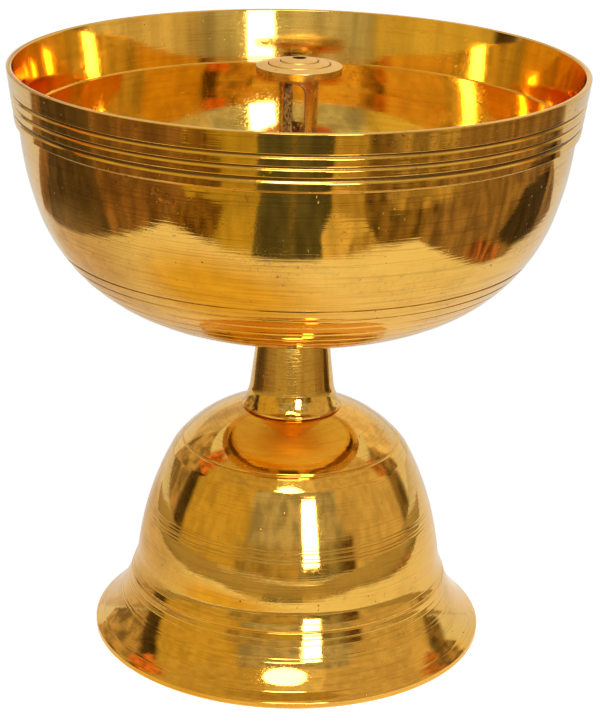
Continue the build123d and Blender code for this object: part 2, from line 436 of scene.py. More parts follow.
def foot_profile(s):
    """Closed profile of the bell foot and the cuts in it."""
    radius, crown = foot_high.x, foot_high.z
    rest = (radius - s.rest_width, 0.0)
    skirt = (radius - s.lip_bevel, s.lip_height + s.lip_bevel)

    def side(start, inset, drop):
        waist = (s.waist_radius - inset, s.waist_height)
        bell = (s.bell_radius - inset, s.bell_height)
        shoulder = (s.shoulder_radius - inset, s.shoulder_height - inset / 2)
        top = (s.crown_radius, crown - drop)
        return (
            arc(start, waist, s.skirt_curve + inset),
            arc(waist, bell, s.flare_curve + inset),
            arc(bell, shoulder, -(s.bell_curve - inset)),
            arc(shoulder, top, -(s.dome_curve - inset)),
        )

    outside = side(skirt, 0.0, 0.0)
    inside = np.vstack((*side(rest, s.wall, s.crown_wall), [(s.crown_radius, crown - s.crown_wall)]))
    points = np.vstack((
        line(rest, (radius, 0.0)),
        line((radius, 0.0), (radius, s.lip_height)),
        line((radius, s.lip_height), skirt),
        *outside,
        line((s.crown_radius, crown), (ROD_HOLE, crown)),
        line((ROD_HOLE, crown), (ROD_HOLE, crown - s.crown_wall)),
        line((ROD_HOLE, crown - s.crown_wall), (s.crown_radius, crown - s.crown_wall)),
        inside[:0:-1],
    ))
    shell = np.vstack(outside)

    def at(height):
        return shell[np.argmin(np.abs(shell[:, 1] - height))]

    dome_line, flat = 0.0734, 0.1
    cuts = [(point, s.line_width, s.line_depth, flat) for point in ((s.waist_radius, s.waist_height), at(dome_line))]
    tool_width, tool_depth = 0.00042, 0.00007
    tool_lines = (0.0046, 0.0128, 0.0139, 0.0176, 0.0196, 0.0246, 0.0461, 0.0472, 0.0489, 0.0500)
    cuts += [(at(height), tool_width, tool_depth, 0.0) for height in tool_lines]
    return points, cuts


def neck_profile(s):
    """Closed profile of the neck."""
    low, high = neck_low.z, neck_high.z
    foot = neck_high.x
    lip = (foot, low + s.lip_height)
    waist = (s.waist_radius, low + s.waist_height)
    top = (s.top_radius, high)
    curve, _ = tangent_arc(waist, lip, np.array(waist) - np.array(top))
    curve = np.vstack((curve, [lip]))[:0:-1]
    return np.vstack((
        line((ROD_HOLE, low), (foot, low)),
        line((foot, low), lip),
        curve,
        line(waist, top),
        line(top, (ROD_HOLE, high)),
        line((ROD_HOLE, high), (ROD_HOLE, low)),
    ))


def bowl_profile(s):
    """Closed profile of the bowl and the cuts in it."""
    low, rim = bowl_low.z, bowl_high.z
    outer = bowl_high.x
    collar = rim - s.collar_height
    foot = (s.top_radius + s.collar_step, collar + s.collar_step / 2)
    ledge = s.top_radius - s.wall + s.ledge_width
    brim, lip = (outer, rim - s.rim_crown), (outer - s.rim_wall, rim - s.rim_crown)

    def side(inset, lift):
        base = (s.base_radius, low + lift)
        middle = (s.belly_radius - inset, low + s.belly_height)
        belly, leaving = tangent_arc(base, middle, (1.0, 0.0))
        upper, _ = tangent_arc(middle, (s.top_radius - inset, collar), leaving)
        return belly, upper

    belly, upper = side(0.0, 0.0)
    inside = np.vstack((*side(s.wall, s.floor), [(s.top_radius - s.wall, collar)]))
    points = np.vstack((
        line((ROD_HOLE, low), (s.base_radius, low)),
        belly,
        upper,
        line((s.top_radius, collar), foot),
        line(foot, brim),
        arc(brim, lip, -(s.rim_wall**2 / 4 + s.rim_crown**2) / (2 * s.rim_crown)),
        line(lip, (ledge, collar)),
        line((ledge, collar), (s.top_radius - s.wall, collar)),
        inside[:0:-1],
        line((s.base_radius, low + s.floor), (ROD_HOLE, low + s.floor)),
        line((ROD_HOLE, low + s.floor), (ROD_HOLE, low)),
    ))
    rise = np.array(brim) - np.array(foot)
    slope = rise / np.linalg.norm(rise)
    collar_widths, belly_grooves = (0.0015, 0.0014, 0.0020), 7
    cuts = []
    for count, width in enumerate(collar_widths):
        down = s.collar_groove_drop - s.rim_crown + count * s.collar_groove_pitch
        cuts.append((np.array(brim) - slope * down, width, s.collar_groove_depth, 0.3))
    for count in range(belly_grooves):
        run = s.belly_groove_run + count * s.belly_groove_pitch
        point = belly[round(run / PROFILE_STEP)]
        cuts.append((point, s.belly_groove_width, s.belly_groove_depth, 0.1))
        cuts.append((point, s.belly_groove_pitch, s.belly_band_sag, 0.0))
    return points, cuts


def disc_profile(s):
    """Closed profile of the wick disc and the cuts in it."""
    top, edge = disc_high.z, disc_high.x
    under = post_high.z
    brow = under + s.disc_edge
    spigot = disc_low.z
    points = outline_of((
        (s.hole_radius, spigot), (s.spigot_radius, spigot), (s.spigot_radius, under),
        (edge, under), (edge, brow), (s.hole_radius, top),
    ))

    def at(radius):
        return (radius, top + (brow - top) * (radius - s.hole_radius) / (edge - s.hole_radius))

    ring_width, ring_depth, flat = 0.00080, 0.00055, 0.2
    cuts = [(at(ring), ring_width, ring_depth, flat) for ring in (s.inner_ring, s.outer_ring)]
    return points, cuts


# Wick post: two half rings per level, joined over and under the slot

def slotted_post(s):
    """The wick post's mesh: its slot runs along Y, with worn edges and cast walls, squarer at the top on one side.

    Faces are for its materials 0 outside, 1 on the slot's walls, 2 on a worn edge and 3 on the strips along the slot's
    other edge, dark as painted shade.
    """
    radius, low, high = post_high.x, post_low.z, post_high.z
    chamfer, edge_settle, wear_run, wave_size = 0.0005, 0.0012, 1.6, 9
    half = s.slot_width / 2
    top = high - s.slot_head
    bottom = top - s.slot_length
    bow = np.linspace(0, math.pi / 2, 15)
    slot_levels = np.concatenate((
        bottom + half - half * np.cos(bow),
        np.linspace(bottom + half, top - half, 88)[1:-1],
        top - half + half * np.sin(bow),
    ))
    foot_levels = np.array((low, low + chamfer / 2, low + chamfer, low + 0.0008))
    levels = np.concatenate((
        foot_levels, np.linspace(foot_levels[-1], bottom, 12)[1:-1], slot_levels, np.linspace(top, high, 6)[1:]
    ))
    inside = (levels > bottom - 1e-9) & (levels < top + 1e-9)
    round_count, flat_count = 56, 26
    rng = np.random.default_rng(7)
    ranges = ((200, 2600), (200, 2600), (0, 6.3), (0.2, 1))
    waves = [[rng.uniform(least, most) for least, most in ranges] for _ in range(40)]

    def outline_at(level, slotted, power):
        ring = radius - max(0.0, chamfer - (level - low))
        below, above = bottom + half - level, level - (top - half)
        rise = min(1.0, max(0.0, below, above) / half)
        bend = power if above > 0 else 2.0
        gap = half * (1 - rise**bend) ** (1 / bend) if slotted else 0.0
        turn = math.pi / 2 - math.asin(min(1.0, gap / ring))
        angles = np.linspace(-turn, turn, round_count + 1)
        outline = np.stack((ring * np.cos(angles), ring * np.sin(angles)), axis=1)
        if not slotted:
            return outline
        depth = ring * math.sin(turn)
        sides = np.linspace(depth, -depth, flat_count + 1)[1:-1]
        flat = np.stack((np.full(len(sides), gap), sides), axis=1)
        share = min(1.0, gap / half * wear_run)
        edge = s.slot_edge * share
        rough = np.zeros(len(sides))
        for up, across, start, size in waves:
            rough += size / math.sqrt(up + across) * np.sin(up * level + across * sides + start)
        keep = np.clip((depth - np.abs(sides)) / edge_settle, 0, 1) * share
        flat[:, 0] += s.slot_roughness * wave_size * rough * keep
        flat[:, 0] += edge * np.clip(1 - (depth - np.abs(sides)) / (wear_run * edge + 1e-9), 0, 1) ** 2
        outline[[0, -1], 0] += edge
        outline[[0, -1], 1] *= np.sqrt(ring**2 - outline[[0, -1], 0] ** 2) / depth if depth > 0 else 1.0
        return np.vstack((outline, flat))

    mesh = bmesh.new()
    for side, power, worn_slot in ((1, 2.0, 3), (-1, 7.0, 2)):
        rows = [outline_at(level, slotted, power) for level, slotted in zip(levels, inside)]
        made = [[mesh.verts.new((side * x, y, level)) for x, y in row] for row, level in zip(rows, levels)]
        for i in range(len(rows) - 1):
            here, over = made[i], made[i + 1]
            strips = [(j, j + 1, 0) for j in range(round_count)]
            # On one side the faces along the slot's edge take the dark crusty material, as painted shade
            if inside[i] and inside[i + 1]:
                strips[:2] = [(j, j + 1, 3 if side == 1 else 0) for j in range(2)]
                size = len(here)
                worn = (round_count, round_count + 1, size - 2, size - 1)
                strips += [(j, (j + 1) % size, worn_slot if j in worn else 1) for j in range(round_count, size)]
            for j, k, slot in strips:
                corners = (here[j], here[k], over[k], over[j])
                face = mesh.faces.new(corners if side == 1 else corners[::-1])
                face.material_index = slot
                face.smooth = True
        for ring, flip in ((made[0], side == 1), (made[-1], side == -1)):
            centre = mesh.verts.new((0, 0, ring[0].co.z))
            for j in range(round_count):
                corners = (centre, ring[j], ring[j + 1])
                mesh.faces.new(corners[::-1] if flip else corners)
    bmesh.ops.remove_doubles(mesh, verts=mesh.verts, dist=2e-6)
    bmesh.ops.dissolve_degenerate(mesh, edges=mesh.edges, dist=1e-7)
    bmesh.ops.recalc_face_normals(mesh, faces=mesh.faces)
    made = bpy.data.meshes.new("wick_post")
    mesh.to_mesh(made)
    mesh.free()
    return made


def bore_post(piece, s):
    """Bore the spigot's seat and the wick's way down into the slot."""
    seat, way = s.spigot_radius + SEAT_GAP, s.hole_radius
    over = post_high.z + 0.001
    deep = disc_low.z - SEAT_GAP
    under = post_high.z - s.slot_head - s.slot_width / 2
    outline = ((0.0, under), (way, under), (way, deep), (seat, deep), (seat, over), (0.0, over))
    tool = bmesh.new()
    spine = [tool.verts.new((r, 0, z)) for r, z in outline]
    edges = [tool.edges.new(pair) for pair in zip(spine, spine[1:])]
    bmesh.ops.spin(tool, geom=spine + edges, axis=(0, 0, 1), cent=(0, 0, 0), angle=2 * math.pi, steps=48)
    bmesh.ops.remove_doubles(tool, verts=tool.verts, dist=1e-6)
    bmesh.ops.recalc_face_normals(tool, faces=tool.faces)
    cutter = place("post_bore", bpy.data.meshes.new("post_bore"))
    tool.to_mesh(cutter.data)
    tool.free()
    cut = piece.modifiers.new("bore", "BOOLEAN")
    cut.operation = "DIFFERENCE"
    cut.solver = "EXACT"
    cut.object = cutter
    graph = bpy.context.evaluated_depsgraph_get()
    bored = bpy.data.meshes.new_from_object(piece.evaluated_get(graph))
    piece.modifiers.clear()
    piece.data = bored
    bpy.data.objects.remove(cutter)
    fewest_faces = 1000
    if len(bored.polygons) < fewest_faces:
        raise RuntimeError("the wick post lost its faces when it was bored")
    clean = bmesh.new()
    clean.from_mesh(bored)
    bmesh.ops.triangulate(clean, faces=[face for face in clean.faces if len(face.verts) > 4])
    bmesh.ops.dissolve_degenerate(clean, edges=clean.edges, dist=2e-6)
    clean.to_mesh(bored)
    clean.free()
    bored.set_sharp_from_angle(angle=math.radians(50))


# Fixings: socket, rings, rod and nut

def socket_profile(s):
    """Closed profile of the socket that holds the wick post."""
    low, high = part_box("wick_socket")
    flange, seat = low.z + s.flange_height, high.z - s.socket_depth
    return outline_of((
        (s.thread_hole, low.z), (high.x, low.z), (high.x, flange - s.flange_edge), (high.x - s.flange_edge, flange),
        (s.socket_radius, flange), (s.socket_radius, high.z), (s.socket_bore, high.z),
        (s.socket_bore, seat), (s.thread_hole, seat),
    ))


def ring_profile(name):
    """Closed profile of a flat ring round the rod: the gasket or the washer."""
    low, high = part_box(name)
    return outline_of(((ROD_HOLE, low.z), (high.x, low.z), (high.x, high.z), (ROD_HOLE, high.z)))


def threaded_rod(s):
    """The tie rod, with its thread cut where it shows under the nut and a centre mark in each end."""
    low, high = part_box("tie_rod")
    segments, rows_per_turn = 64, 12
    first_row, run_out, mark_radius = 0.00005, 0.0005, 0.0003
    turns = np.arange(segments) * 2 * math.pi / segments
    thread = np.arange(low.z + first_row, low.z + s.thread_length, s.thread_pitch / rows_per_turn)
    plain = np.array((low.z + s.thread_length + run_out, high.z - s.rod_chamfer, high.z))
    levels = np.concatenate((thread, plain))
    wave = np.abs((levels / s.thread_pitch - turns[:, None] / (2 * math.pi)) % 1.0 * 2 - 1)
    radius = high.x - s.thread_depth * np.clip(wave * 1.3 - 0.15, 0, 1) * (levels < plain[0])
    ends = np.minimum(levels - low.z, high.z - levels)
    radius = np.minimum(radius, high.x - s.rod_chamfer + np.clip(ends, 0, s.rod_chamfer))
    mark = np.full((segments, 1), mark_radius)
    face = np.full((segments, 1), high.x - s.rod_chamfer)
    radius = np.hstack((mark, face, radius, mark))
    rod = ring_mesh("tie_rod_threaded", radius, np.concatenate(([low.z, low.z], levels, [high.z])), turns)
    rod.data.set_sharp_from_angle(angle=math.radians(35))
    return rod


def hex_nut(s):
    """The nut under the foot, its corners bevelled at both ends."""
    low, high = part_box("foot_nut")
    segments = 96
    turns = np.arange(segments) * 2 * math.pi / segments
    flat, bevel = s.nut_flats / 2, s.nut_flats / 2 * 0.95
    start = 0.0 if high.x > high.y else math.pi / 6
    side = flat / np.cos((turns + start) % (math.pi / 3) - math.pi / 6)
    drop = (side - bevel) * math.tan(math.radians(30))
    hole, cone, bottom, top = (np.full(segments, value) for value in (s.thread_hole, bevel, low.z, high.z))
    radius = np.stack((hole, cone, side, side, cone, hole), axis=1)
    height = np.stack((bottom, bottom, bottom + drop, top - drop, top, top), axis=1)
    nut = ring_mesh("foot_nut_hex", radius, height, turns)
    nut.data.set_sharp_from_angle(angle=math.radians(20))
    return nut


# Materials

def node(tree, kind, values=None, **options):
    """Add a shader node, set its options, and set or link its inputs."""
    made = tree.nodes.new("ShaderNode" + kind)
    for key, value in options.items():
        setattr(made, key, value)
    for key, value in (values or {}).items():
        if isinstance(value, bpy.types.NodeSocket):
            tree.links.new(value, made.inputs[key])
        else:
            made.inputs[key].default_value = value
    return made


def maths(tree, operation, *values):
    """Output of a maths node on up to three values or sockets."""
    return node(tree, "Math", dict(enumerate(values)), operation=operation).outputs[0]


def blend(tree, share, first, second):
    """Output of a colour mix."""
    mix = node(tree, "Mix", {0: share, 6: first, 7: second}, data_type="RGBA")
    return mix.outputs[2]


def span(tree, value, low, high, bottom=0.0, top=1.0):
    """Output of a smooth, clamped map of a value from one range to another."""
    values = {"Value": value, "From Min": low, "From Max": high, "To Min": bottom, "To Max": top}
    return node(tree, "MapRange", values, interpolation_type="SMOOTHSTEP").outputs["Result"]


def own_place(tree):
    """Output of a point's place on its own piece."""
    return node(tree, "TexCoord").outputs["Object"]


def noise(tree, where, scale, detail, roughness=0.5):
    """Output of a cloudy noise."""
    values = {"Vector": where, "Scale": scale, "Detail": detail, "Roughness": roughness}
    return node(tree, "TexNoise", values).outputs[0]


def bumped(tree, height):
    """Normal of a surface raised by a height in metres."""
    return node(tree, "Bump", {"Height": height, "Strength": 1.0, "Distance": 1.0}).outputs[0]


def new_group(name, inputs, outputs):
    """An empty shader node group with named number inputs and outputs."""
    group = bpy.data.node_groups.new(name, "ShaderNodeTree")
    for socket, default in inputs.items():
        made = group.interface.new_socket(socket, in_out="INPUT", socket_type="NodeSocketFloat")
        made.default_value = default
    for socket in outputs:
        group.interface.new_socket(socket, in_out="OUTPUT", socket_type="NodeSocketFloat")
    return group, group.nodes.new("NodeGroupInput"), group.nodes.new("NodeGroupOutput")


def place_group(tree, name, **values):
    """Place a shared group in a material with its own values."""
    made = tree.nodes.new("ShaderNodeGroup")
    made.node_tree = bpy.data.node_groups[name]
    for key, value in values.items():
        made.inputs[key.replace("_", " ")].default_value = value
    return made


def turned_lines_group():
    """Fine lines that run round the lathe's axis, and broad polishing streaks along them."""
    group, given, out = new_group("Turned Lines", {"Pitch": 0.0006, "Around": 3.0}, ("Lines", "Streaks", "Ripple"))
    xyz = node(group, "SeparateXYZ", {0: own_place(group)})
    flat = node(group, "CombineXYZ", {"X": xyz.outputs["X"], "Y": xyz.outputs["Y"]}).outputs[0]
    radius = node(group, "VectorMath", {0: flat}, operation="LENGTH").outputs["Value"]
    spoke = node(group, "SeparateXYZ", {0: node(group, "VectorMath", {0: flat}, operation="NORMALIZE").outputs[0]})
    pitch, around = given.outputs["Pitch"], given.outputs["Around"]

    def rings(stretch, swirl, detail):
        step = maths(group, "MULTIPLY", pitch, stretch)
        turn = maths(group, "MULTIPLY", around, swirl)
        where = node(group, "CombineXYZ", {
            "X": maths(group, "DIVIDE", radius, step),
            "Y": maths(group, "DIVIDE", xyz.outputs["Z"], step),
            "Z": maths(group, "MULTIPLY", spoke.outputs["X"], turn),
        }).outputs[0]
        deep = maths(group, "MULTIPLY", spoke.outputs["Y"], turn)
        values = {"Vector": where, "W": deep, "Scale": 1.0, "Detail": detail, "Roughness": 0.6}
        return node(group, "TexNoise", values, noise_dimensions="4D").outputs[0]

    group.links.new(rings(1.0, 1.0, 2.0), out.inputs["Lines"])
    group.links.new(rings(5.0, 2.0, 3.0), out.inputs["Streaks"])
    group.links.new(rings(9.0, 4.0, 1.0), out.inputs["Ripple"])


def casting_pits_group():
    """Small pits from the casting, crowded in patches, as a mask."""
    group, given, out = new_group("Casting Pits", {"Spacing": 0.0035, "Share": 0.3, "Size": 0.16}, ("Pits",))
    where = own_place(group)
    scale = maths(group, "DIVIDE", 1.0, given.outputs["Spacing"])
    cells = node(group, "TexVoronoi", {"Vector": where, "Scale": scale, "Randomness": 1.0})
    dice = node(group, "SeparateColor", {0: cells.outputs["Color"]})
    crowd = noise(group, where, 24.0, 2.0)
    share = maths(group, "MULTIPLY", given.outputs["Share"], span(group, crowd, 0.42, 0.66, 0.3, 2.6))
    chosen = maths(group, "LESS_THAN", dice.outputs["Red"], share)
    width = maths(group, "MULTIPLY", given.outputs["Size"], maths(group, "ADD", dice.outputs["Green"], 0.25))
    inner = maths(group, "MULTIPLY", width, 0.45)
    pit = span(group, cells.outputs["Distance"], inner, width, 1.0, 0.0)
    group.links.new(maths(group, "MULTIPLY", pit, chosen), out.inputs["Pits"])


def fine_scratches_group():
    """Speckle of fine scratches from polishing grit, thicker in patches, as a mask."""
    group, given, out = new_group("Fine Scratches", {"Size": 0.0006}, ("Scratches",))
    where = own_place(group)
    grain = noise(group, where, maths(group, "DIVIDE", 1.0, given.outputs["Size"]), 2.0, 0.7)
    patch = noise(group, where, 55.0, 2.0)
    speckle = maths(group, "MULTIPLY", span(group, grain, 0.52, 0.72), span(group, patch, 0.38, 0.65, 0.2, 1.0))
    group.links.new(speckle, out.inputs["Scratches"])


def tarnish_group():
    """Cloudy brown film and small stains, as masks."""
    group, given, out = new_group("Tarnish", {"Spread": 0.5, "Cloud": 0.03, "Grain": 0.0014}, ("Film", "Stains"))
    where = own_place(group)
    coarse = noise(group, where, maths(group, "DIVIDE", 1.0, given.outputs["Cloud"]), 4.0, 0.65)
    grain = noise(group, where, maths(group, "DIVIDE", 1.0, given.outputs["Grain"]), 3.0, 0.7)
    level = maths(group, "SUBTRACT", 0.85, maths(group, "MULTIPLY", given.outputs["Spread"], 0.5))
    cloud = span(group, coarse, maths(group, "SUBTRACT", level, 0.16), maths(group, "ADD", level, 0.1))
    speck = span(group, grain, 0.5, 0.72)
    film = maths(group, "MULTIPLY", cloud, maths(group, "MULTIPLY_ADD", speck, 0.7, 0.3))
    group.links.new(film, out.inputs["Film"])
    stain = maths(group, "MULTIPLY", span(group, grain, 0.64, 0.72), span(group, coarse, 0.42, 0.58))
    group.links.new(stain, out.inputs["Stains"])


SHARED_EFFECTS = {
    "Turned Lines": turned_lines_group,
    "Casting Pits": casting_pits_group,
    "Tarnish": tarnish_group,
    "Fine Scratches": fine_scratches_group,
}


def principled(tree, **values):
    """The material's own shader, wired to its output."""
    shader = node(tree, "BsdfPrincipled", {key.replace("_", " "): value for key, value in values.items()})
    node(tree, "OutputMaterial", {"Surface": shader.outputs[0]})


def new_material(name):
    """An empty node material."""
    material = bpy.data.materials.new(name)
    material.use_nodes = True
    material.node_tree.nodes.clear()
    return material, material.node_tree


STAIN = (0.42, 0.19, 0.13, 1.0)
SPOT = (0.40, 0.18, 0.13, 1.0)
PIT = (0.10, 0.05, 0.02, 1.0)
# Paler brass for the bowl's unpolished underside: painted light, as from the floor under the bowl
PAINTED_LIGHT_UNDERSIDE_BRASS = (0.97, 0.78, 0.30, 1.0)
# Knocks in the bowl's side, each a place, a radius and a depth in metres
BOWL_DENTS = (
    ((-0.0137, -0.0946, 0.1860), 0.0026, 0.00016),
    ((-0.0164, -0.0944, 0.1878), 0.0019, 0.00010),
    ((-0.0112, -0.0949, 0.1853), 0.0016, 0.00008),
    ((0.0208, -0.0962, 0.1985), 0.0014, 0.00010),
)


# Each finish has a brass from the settings, the height of its turning lines against the setting and their pitch in
# metres, shares of brown film and pits, and may have a tint, more roughness, and shares of stains and groove darkening
BRASS_FINISHES = {
    "polished_brass": dict(base="brass", lines=0.7, pitch=0.0007, film=0.40, pits=0.14),
    "bowl_brass": dict(
        base="brass", lines=1.5, pitch=0.0007, film=0.55, pits=0.25, stains=0.9, groove_darkening=0.75,
        # Its underside is left rough and painted paler, as light from the floor
        matt_painted_light_under=bowl_low.z + 0.0005, dents=BOWL_DENTS,
    ),
    # Inside the bowl: a paler, yellower copy of the brass, painted light to lift the dark light bounced about inside
    "inner_brass": dict(
        base="brass", lines=0.45, pitch=0.0014, film=0.45, pits=0.06, tint=(1.0889, 1.18, 1.25), stains=0.3
    ),
    "rough_brass": dict(
        base="brass", lines=1.2, pitch=0.0016, film=0.75, pits=0.5, tint=(0.85, 0.82, 0.95), rougher=0.37
    ),
    "disc_brass": dict(
        base="satin_brass", lines=0.3, pitch=0.0004, film=0.35, pits=0.1, tint=(1.043, 1.06, 1.06), rougher=0.33,
        stains=0.2, groove_darkening=0.95,
    ),
    # The disc's upright edge: a paler, yellower tint, a painted reflection of pale surroundings
    "edge_brass": dict(
        base="satin_brass", lines=0.6, pitch=0.0005, film=0.5, pits=0.1, tint=(0.72, 1.02, 1.7), rougher=0.16,
        stains=0.2,
    ),
    "post_brass": dict(
        base="satin_brass", lines=0.8, pitch=0.0006, film=0.7, pits=0.3, tint=(1.0, 1.36, 2.8), rougher=0.17
    ),
}


def turned_brass(
    name, s, base, lines, pitch, film, pits, tint=(1.0, 1.0, 1.0), rougher=0.0, stains=0.35, groove_darkening=0.3,
    matt_painted_light_under=None, dents=(),
):
    """Brass off the lathe: fine lines, polishing streaks, scratches, brown film, stains, pits, and a darker colour in
    its deeper grooves.

    Below the height matt_painted_light_under it is left unpolished, and its colour is painted paler, as light from the
    floor under the bowl.
    """
    # The tint paints light into the bowl's inside and a reflection onto the disc's edge
    clean = tuple(channel * share for channel, share in zip(getattr(s, base), tint))
    lines *= s.line_height
    line_shade = min(0.5, lines * 31000)
    material, tree = new_material(name)
    where = own_place(tree)
    marks = place_group(tree, "Turned Lines", Pitch=pitch, Around=2.2)
    dull = place_group(tree, "Tarnish", Spread=film)
    holes = place_group(tree, "Casting Pits", Spacing=0.0024, Share=pits, Size=0.15).outputs["Pits"]
    spots = place_group(tree, "Casting Pits", Spacing=0.010, Share=pits * 1.5, Size=0.11).outputs["Pits"]
    speckle = place_group(tree, "Fine Scratches").outputs["Scratches"]
    groove = node(tree, "Attribute", attribute_name="groove").outputs["Fac"]
    # Darker colour and more roughness in the deeper grooves, by the depth of their cut
    groove_dark = maths(tree, "MULTIPLY", span(tree, groove, 0.3, 0.9), groove_darkening)

    warm = (clean[0] * 0.94, clean[1] * 0.86, clean[2] * 0.76, 1.0)
    dark = (clean[0] * 0.74, clean[1] * 0.66, clean[2] * 0.60, 1.0)
    worn = blend(tree, span(tree, marks.outputs["Streaks"], 0.4, 0.7, 0.0, 0.6), (*clean, 1.0), warm)
    worn = blend(tree, span(tree, marks.outputs["Lines"], 0.53, 0.61, 0.0, line_shade), worn, dark)
    worn = blend(tree, maths(tree, "MULTIPLY", speckle, 0.3), worn, dark)
    worn = blend(tree, maths(tree, "MULTIPLY", dull.outputs["Film"], 0.5), worn, (*s.tarnish, 1.0))
    worn = blend(tree, maths(tree, "MULTIPLY", dull.outputs["Stains"], stains), worn, STAIN)
    worn = blend(tree, maths(tree, "MULTIPLY", spots, stains * 0.7), worn, SPOT)
    worn = blend(tree, groove_dark, worn, (*s.dark_tone_and_shade, 1.0))
    worn = blend(tree, maths(tree, "MULTIPLY", holes, 0.8), worn, PIT)

    rough = maths(tree, "MULTIPLY_ADD", marks.outputs["Streaks"], 0.05, s.polish + rougher - 0.025)
    rough = maths(tree, "MULTIPLY_ADD", speckle, 0.16, rough)
    rough = maths(tree, "MULTIPLY_ADD", dull.outputs["Film"], 0.12, rough)
    rough = maths(tree, "MULTIPLY_ADD", maths(tree, "MAXIMUM", holes, groove_dark), 0.3, rough)
    # Under the bowl: rougher as unpolished brass, and paler as painted light
    if matt_painted_light_under is not None:
        height = node(tree, "SeparateXYZ", {0: where}).outputs["Z"]
        matt_and_painted_light = span(tree, height, matt_painted_light_under, matt_painted_light_under + 0.0012, 1.0, 0.0)
        worn = blend(tree, matt_and_painted_light, worn, PAINTED_LIGHT_UNDERSIDE_BRASS)
        rough = maths(tree, "MULTIPLY_ADD", matt_and_painted_light, 0.4, rough)

    relief = maths(tree, "MULTIPLY", marks.outputs["Lines"], lines)
    relief = maths(tree, "MULTIPLY_ADD", marks.outputs["Ripple"], lines * 1.6, relief)
    relief = maths(tree, "MULTIPLY_ADD", speckle, -0.000003, relief)
    relief = maths(tree, "MULTIPLY_ADD", holes, -0.00006, relief)
    for point, radius, depth in dents:
        away = node(tree, "VectorMath", {0: where, 1: point}, operation="DISTANCE").outputs["Value"]
        relief = maths(tree, "MULTIPLY_ADD", span(tree, away, radius * 0.2, radius, 1.0, 0.0), -depth, relief)
    normal = bumped(tree, relief)
    tangent = node(tree, "Tangent", direction_type="RADIAL", axis="Z").outputs[0]
    principled(
        tree, Base_Color=worn, Metallic=1.0, Roughness=rough, Normal=normal, Anisotropic=0.3, Tangent=tangent
    )
    return material


def cast_skin(name, cast, soot, top):
    """Rough skin left from the mould, with bright grains where it is rubbed bare, and painted shade towards its top,
    under the disc.
    """
    material, tree = new_material(name)
    where = own_place(tree)
    grain = noise(tree, where, 1000.0, 3.0, 0.7)
    lumps = node(tree, "TexVoronoi", {"Vector": where, "Scale": 800.0}).outputs["Distance"]
    height = node(tree, "SeparateXYZ", {0: where}).outputs["Z"]
    # Painted shade: over the top of the slot, under the disc, the walls fade into the dark colour and lose their bright
    # grains
    clear = span(tree, height, top - 0.005, top - 0.001, 1.0, 0.15)
    bare = span(tree, maths(tree, "ADD", grain, maths(tree, "MULTIPLY", lumps, 0.2)), 0.57, 0.63)
    bare = maths(tree, "MULTIPLY", bare, clear)
    dark, rubbed = (cast[0] * 0.06, cast[1] * 0.05, cast[2] * 0.05, 1.0), (0.95, 0.88, 0.74, 1.0)
    skin = blend(tree, span(tree, grain, 0.43, 0.56), dark, (*cast, 1.0))
    base = blend(tree, bare, skin, rubbed)
    base = blend(tree, clear, (*soot, 1.0), base)
    rough = span(tree, bare, 0.0, 1.0, 0.65, 0.22)
    metal = span(tree, bare, 0.0, 1.0, 0.7, 1.0)
    relief = maths(tree, "MULTIPLY_ADD", grain, 0.0006, maths(tree, "MULTIPLY", lumps, 0.0004))
    principled(tree, Base_Color=base, Metallic=metal, Roughness=rough, Normal=bumped(tree, relief))
    return material


def lamp_soot_and_shade(name, dark_tone_and_shade):
    """Dark, dull and crusty: sooty burnt butter in the wick hole, and painted shade on the strips along one edge of the
    post's slot.
    """
    material, tree = new_material(name)
    crust = noise(tree, own_place(tree), 1800.0, 4.0, 0.7)
    black = [channel * 0.25 for channel in dark_tone_and_shade]
    base = blend(tree, span(tree, crust, 0.4, 0.7), (*black, 1.0), (*dark_tone_and_shade, 1.0))
    normal = bumped(tree, maths(tree, "MULTIPLY", crust, 0.0003))
    principled(tree, Base_Color=base, Roughness=span(tree, crust, 0.3, 0.7, 0.5, 0.9), Normal=normal)
    return material


def plain_steel(name, steel, rust):
    """Rod, nut and washer: bare steel with some rust."""
    material, tree = new_material(name)
    marks = place_group(tree, "Turned Lines", Pitch=0.0004, Around=6.0)
    dull = place_group(tree, "Tarnish", Spread=0.75, Cloud=0.006, Grain=0.0008)
    film = dull.outputs["Film"]
    base = blend(tree, film, (*steel, 1.0), (*rust, 1.0))
    rough = maths(tree, "MULTIPLY_ADD", film, 0.4, maths(tree, "MULTIPLY_ADD", marks.outputs["Streaks"], 0.2, 0.2))
    metal = maths(tree, "SUBTRACT", 1.0, maths(tree, "MULTIPLY", film, 0.7))
    height = maths(tree, "MULTIPLY_ADD", film, 0.00005, maths(tree, "MULTIPLY", marks.outputs["Lines"], 0.000004))
    principled(tree, Base_Color=base, Metallic=metal, Roughness=rough, Normal=bumped(tree, height))
    return material


def oiled_fibre(name, fibre):
    """Gasket: dark pressed fibre, soaked in old butter."""
    material, tree = new_material(name)
    values = {"Vector": own_place(tree), "Scale": 1400.0, "Detail": 5.0, "Distortion": 1.5}
    strands = node(tree, "TexNoise", values).outputs[0]
    dark = [channel * 0.4 for channel in fibre]
    base = blend(tree, span(tree, strands, 0.35, 0.65), (*dark, 1.0), (*fibre, 1.0))
    normal = bumped(tree, maths(tree, "MULTIPLY", strands, 0.0001))
    principled(tree, Base_Color=base, Roughness=span(tree, strands, 0.3, 0.7, 0.45, 0.8), Normal=normal)
    return material


